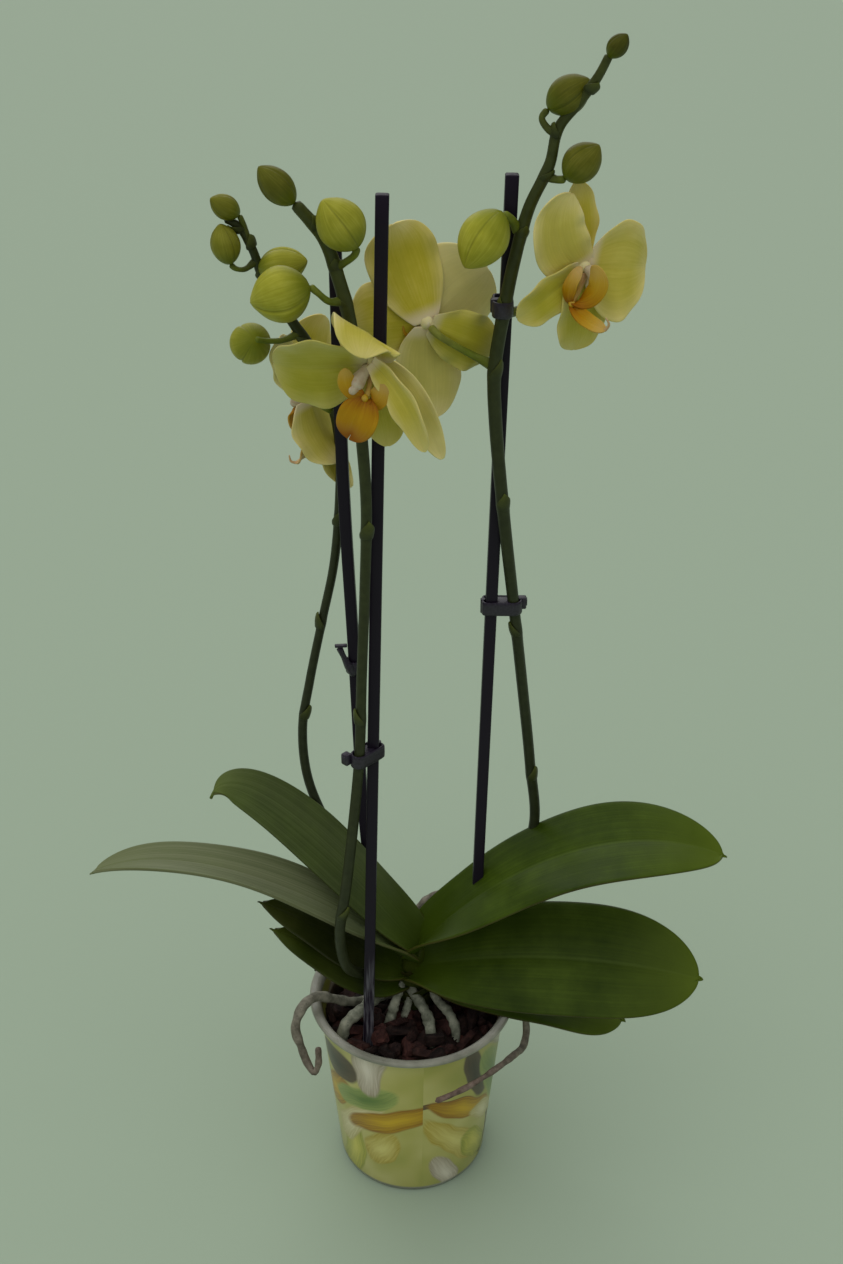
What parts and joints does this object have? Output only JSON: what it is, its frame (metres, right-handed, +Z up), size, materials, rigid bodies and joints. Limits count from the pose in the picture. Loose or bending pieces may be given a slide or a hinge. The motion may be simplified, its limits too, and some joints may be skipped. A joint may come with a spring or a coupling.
{
  "type": "potted orchid",
  "caption": "Moth orchid in a thin plastic pot of bark, its flower spikes held upright by stakes and small clips, with broad leaves, buds and yellow blooms.",
  "frame": {"origin": "centre of the pot's base, on the table", "axes": "+Z up along the pot's axis, +X to the right as seen from the front, -Y towards the viewer"},
  "size_m": [0.3402, 0.1235, 0.6496],
  "materials": {
    "pot_plastic": "thin translucent plastic with a printed sleeve pattern",
    "bark_chips": "rough dry bark",
    "crown_green": "matt living stem",
    "stake_plastic": "satin black plastic",
    "clip_plastic": "satin black moulded plastic",
    "leaf_green": "smooth waxy leaf",
    "root_grey": "dry silvery root skin",
    "stem_green": "smooth waxy stem",
    "bud_green": "smooth waxy bud",
    "petal_yellow": "soft velvety petal",
    "lip_orange": "soft waxy petal",
    "column_white": "smooth waxy petal"
  },
  "bodies": {
    "root": {"bark": "bark_chips", "bud_left_back": "bud_green", "bud_left_high": "bud_green", "bud_left_low": "bud_green", "bud_left_mid": "bud_green", "bud_middle_near": "bud_green", "bud_middle_right": "bud_green", "bud_middle_tip": "bud_green", "bud_right_high": "bud_green", "bud_right_low": "bud_green", "bud_right_mid": "bud_green", "bud_right_tip": "bud_green", "clip_back": "clip_plastic", "clip_middle": "clip_plastic", "clip_right_low": "clip_plastic", "clip_right_top": "clip_plastic", "crown": "crown_green", "flower_back_column": "column_white", "flower_back_lip": "lip_orange", "flower_back_petals": "petal_yellow", "flower_front_column": "column_white", "flower_front_lip": "lip_orange", "flower_front_petals": "petal_yellow", "flower_left_column": "column_white", "flower_left_lip": "lip_orange", "flower_left_petals": "petal_yellow", "flower_right_column": "column_white", "flower_right_lip": "lip_orange", "flower_right_petals": "petal_yellow", "leaf_left_long": "leaf_green", "leaf_left_low": "leaf_green", "leaf_left_mid": "leaf_green", "leaf_left_upper": "leaf_green", "leaf_right_lower": "leaf_green", "leaf_right_under": "leaf_green", "leaf_right_upper": "leaf_green", "pot": "pot_plastic", "root_back_aerial": "root_grey", "root_front_left": "root_grey", "root_mid": "root_grey", "root_mid_left": "root_grey", "root_mid_right": "root_grey", "root_over_rim_left": "root_grey", "root_over_rim_right": "root_grey", "spike_left": "stem_green", "spike_middle": "stem_green", "spike_right": "stem_green", "stake_back": "stake_plastic", "stake_front": "stake_plastic", "stake_right": "stake_plastic"}
  },
  "joints": []
}
